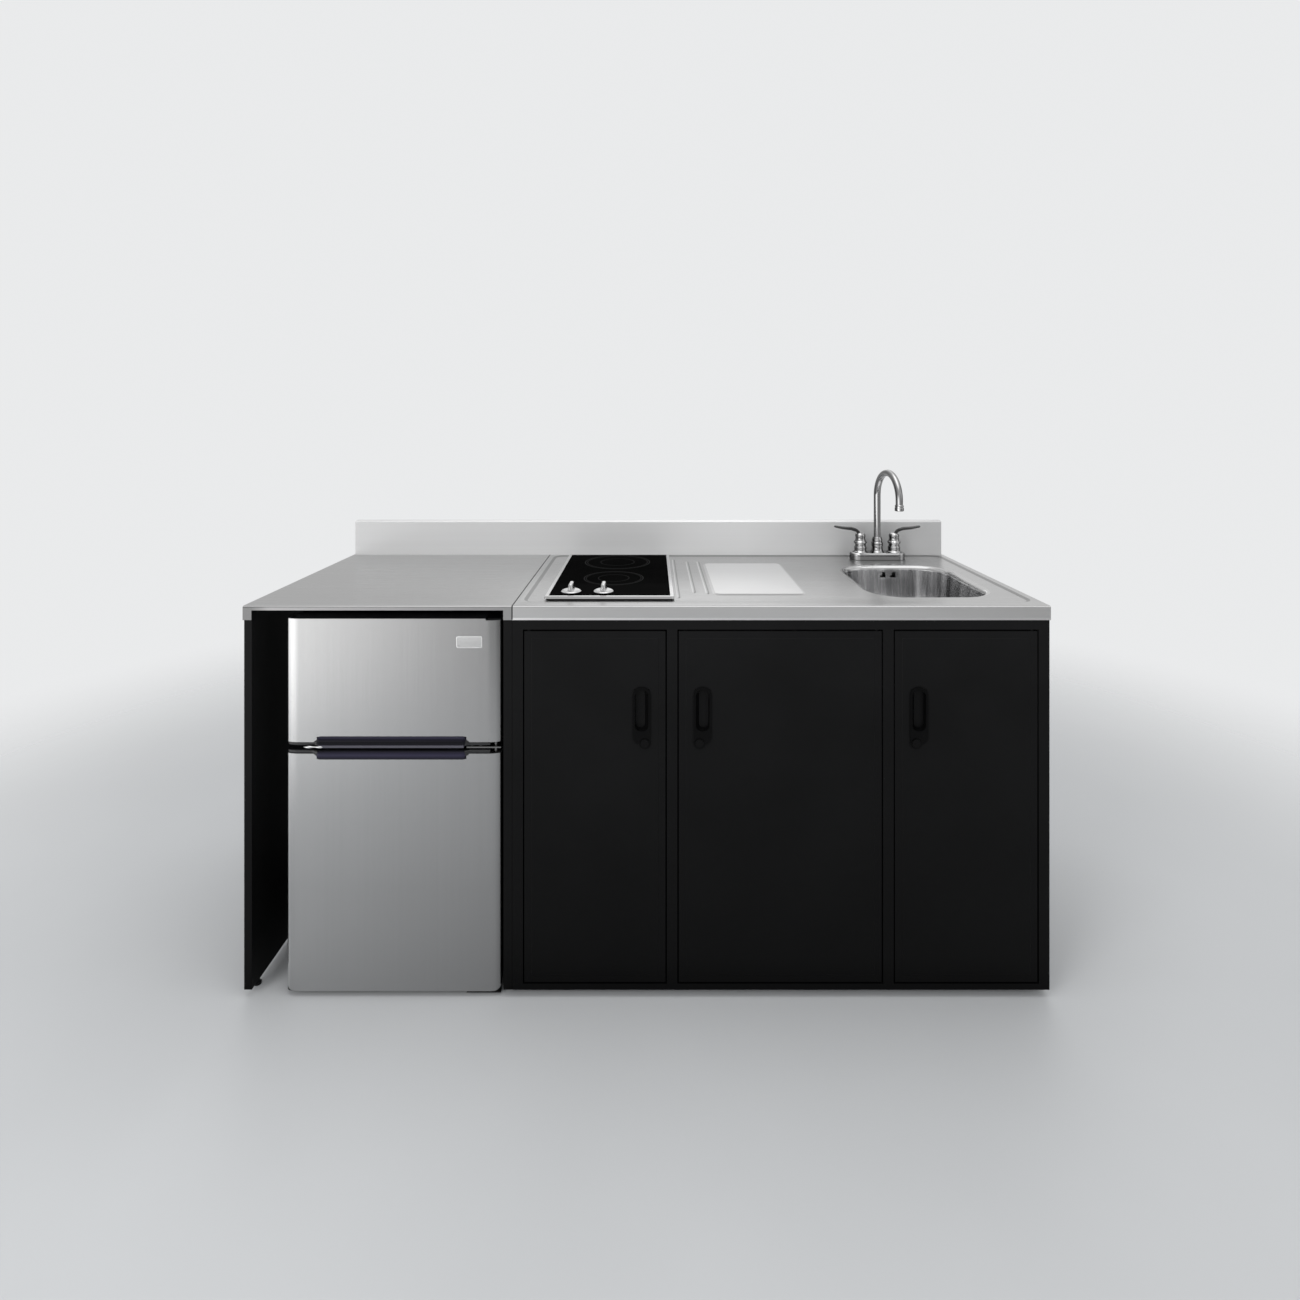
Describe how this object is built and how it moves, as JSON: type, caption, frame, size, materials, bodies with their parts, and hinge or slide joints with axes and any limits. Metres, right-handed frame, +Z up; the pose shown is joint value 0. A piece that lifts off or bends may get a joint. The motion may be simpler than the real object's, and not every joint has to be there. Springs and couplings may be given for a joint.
{
  "type": "kitchenette unit with sink and hob",
  "caption": "one-piece compact kitchen: steel worktop with sunk sink, swivel tap and glass hob over black cupboards, beside a bay with a two-door refrigerator",
  "frame": {"origin": "middle of the base, on the floor", "axes": "X along the worktop, right as seen from the front; Y to the back, the doors face -Y; Z up"},
  "size_m": [1.8288, 0.613, 1.1608],
  "materials": {
    "steel": "satin",
    "chrome": "polished",
    "brass": "satin",
    "dark_steel": "satin",
    "hob_glass": "gloss",
    "knob": "satin",
    "black_board": "satin",
    "black_plastic": "satin",
    "black_paint": "satin",
    "case": "matte",
    "fridge_front": "satin",
    "grip": "gloss",
    "gasket": "matte",
    "clear": "gloss"
  },
  "bodies": {
    "unit": {"right_worktop": "steel", "left_worktop": "steel", "backsplash": "steel", "sink_bowl": "steel", "drain_strainer": "steel", "hob_trim": "steel", "faucet_body": "chrome", "spout_nut": "chrome", "faucet_valve_left": "brass", "faucet_valve_right": "brass", "element_front": "dark_steel", "element_rear": "dark_steel", "hinge_middle": "dark_steel", "hob_glass": "hob_glass", "face_frame": "black_board", "cabinet_side_left": "black_board", "cabinet_side_right": "black_board", "cabinet_floor": "black_board", "cabinet_back": "black_board", "partition": "black_board", "shelf": "black_board", "bay_side_left": "black_board", "bay_side_right": "black_board", "bay_rear_rail": "black_board", "foot_front_left": "black_plastic", "foot_front_right": "black_plastic", "foot_back_left": "black_plastic", "foot_back_right": "black_plastic", "bay_foot_front": "black_plastic", "bay_foot_back": "black_plastic", "hob_switches": "black_plastic", "hob_pan": "black_paint", "hinge_top": "black_paint", "hinge_bottom": "black_paint", "compressor": "black_paint", "fridge_case": "case", "fridge_shelf": "clear", "crisper": "clear"},
    "left_door": {"door_left": "black_board", "door_left_pull": "black_plastic"},
    "left_button": {"door_left_catch_button": "black_plastic"},
    "centre_door": {"door_centre": "black_board", "door_centre_pull": "black_plastic"},
    "centre_button": {"door_centre_catch_button": "black_plastic"},
    "right_door": {"door_right": "black_board", "door_right_pull": "black_plastic"},
    "right_button": {"door_right_catch_button": "black_plastic"},
    "freezer": {"freezer_door": "fridge_front", "freezer_grip": "grip", "freezer_gasket": "gasket"},
    "refrigerator": {"fridge_door": "fridge_front", "fridge_grip": "grip", "fridge_gasket": "gasket"},
    "hot_lever": {"faucet_lever_left": "chrome"},
    "cold_lever": {"faucet_lever_right": "chrome"},
    "swivel_spout": {"spout": "chrome", "aerator": "chrome"},
    "left_knob": {"hob_knob_left": "knob"},
    "right_knob": {"hob_knob_right": "knob"},
    "basket": {"strainer_basket": "steel"}
  },
  "joints": [
    {"name": "door_left_hinge", "type": "hinge", "parent": "unit", "child": "left_door", "pos_m": [-0.2676, -0.29395, 0.4315], "axis": [0, 0, 1], "range_deg": [-90, 0]},
    {"name": "door_centre_hinge", "type": "hinge", "parent": "unit", "child": "centre_door", "pos_m": [0.5224, -0.29395, 0.4315], "axis": [0, 0, 1], "range_deg": [0, 100]},
    {"name": "door_right_hinge", "type": "hinge", "parent": "unit", "child": "right_door", "pos_m": [0.8753, -0.29395, 0.4315], "axis": [0, 0, 1], "range_deg": [0, 100]},
    {"name": "freezer_door_hinge", "type": "hinge", "parent": "unit", "child": "freezer", "pos_m": [-0.3444, -0.28705, 0.717], "axis": [0, 0, 1], "range_deg": [0, 90]},
    {"name": "fridge_door_hinge", "type": "hinge", "parent": "unit", "child": "refrigerator", "pos_m": [-0.3444, -0.28705, 0.2815], "axis": [0, 0, 1], "range_deg": [0, 90]},
    {"name": "lever_left_turn", "type": "hinge", "parent": "unit", "child": "hot_lever", "pos_m": [0.6437, 0.23995, 0.93], "axis": [0, 0, 1], "range_deg": [0, 90]},
    {"name": "lever_right_turn", "type": "hinge", "parent": "unit", "child": "cold_lever", "pos_m": [0.7457, 0.23995, 0.93], "axis": [0, 0, 1], "range_deg": [-90, 0]},
    {"name": "spout_turn", "type": "hinge", "parent": "unit", "child": "swivel_spout", "pos_m": [0.6947, 0.23995, 0.93], "axis": [0, 0, 1], "range_deg": [-96, 84]},
    {"name": "knob_left_turn", "type": "hinge", "parent": "unit", "child": "left_knob", "pos_m": [-0.183, -0.19805, 0.893], "axis": [0, 0, 1], "range_deg": [-290, 0]},
    {"name": "knob_right_turn", "type": "hinge", "parent": "unit", "child": "right_knob", "pos_m": [-0.105, -0.19805, 0.893], "axis": [0, 0, 1], "range_deg": [-290, 0]},
    {"name": "basket_lift", "type": "slide", "parent": "unit", "child": "basket", "axis": [0, 0, 1], "range_m": [0, 0.12]},
    {"name": "left_button_push", "type": "slide", "parent": "left_door", "child": "left_button", "axis": [0, 1, 0], "range_m": [0, 0.003], "stiffness_N_per_m": 300},
    {"name": "centre_button_push", "type": "slide", "parent": "centre_door", "child": "centre_button", "axis": [0, 1, 0], "range_m": [0, 0.003], "stiffness_N_per_m": 300},
    {"name": "right_button_push", "type": "slide", "parent": "right_door", "child": "right_button", "axis": [0, 1, 0], "range_m": [0, 0.003], "stiffness_N_per_m": 300}
  ]
}
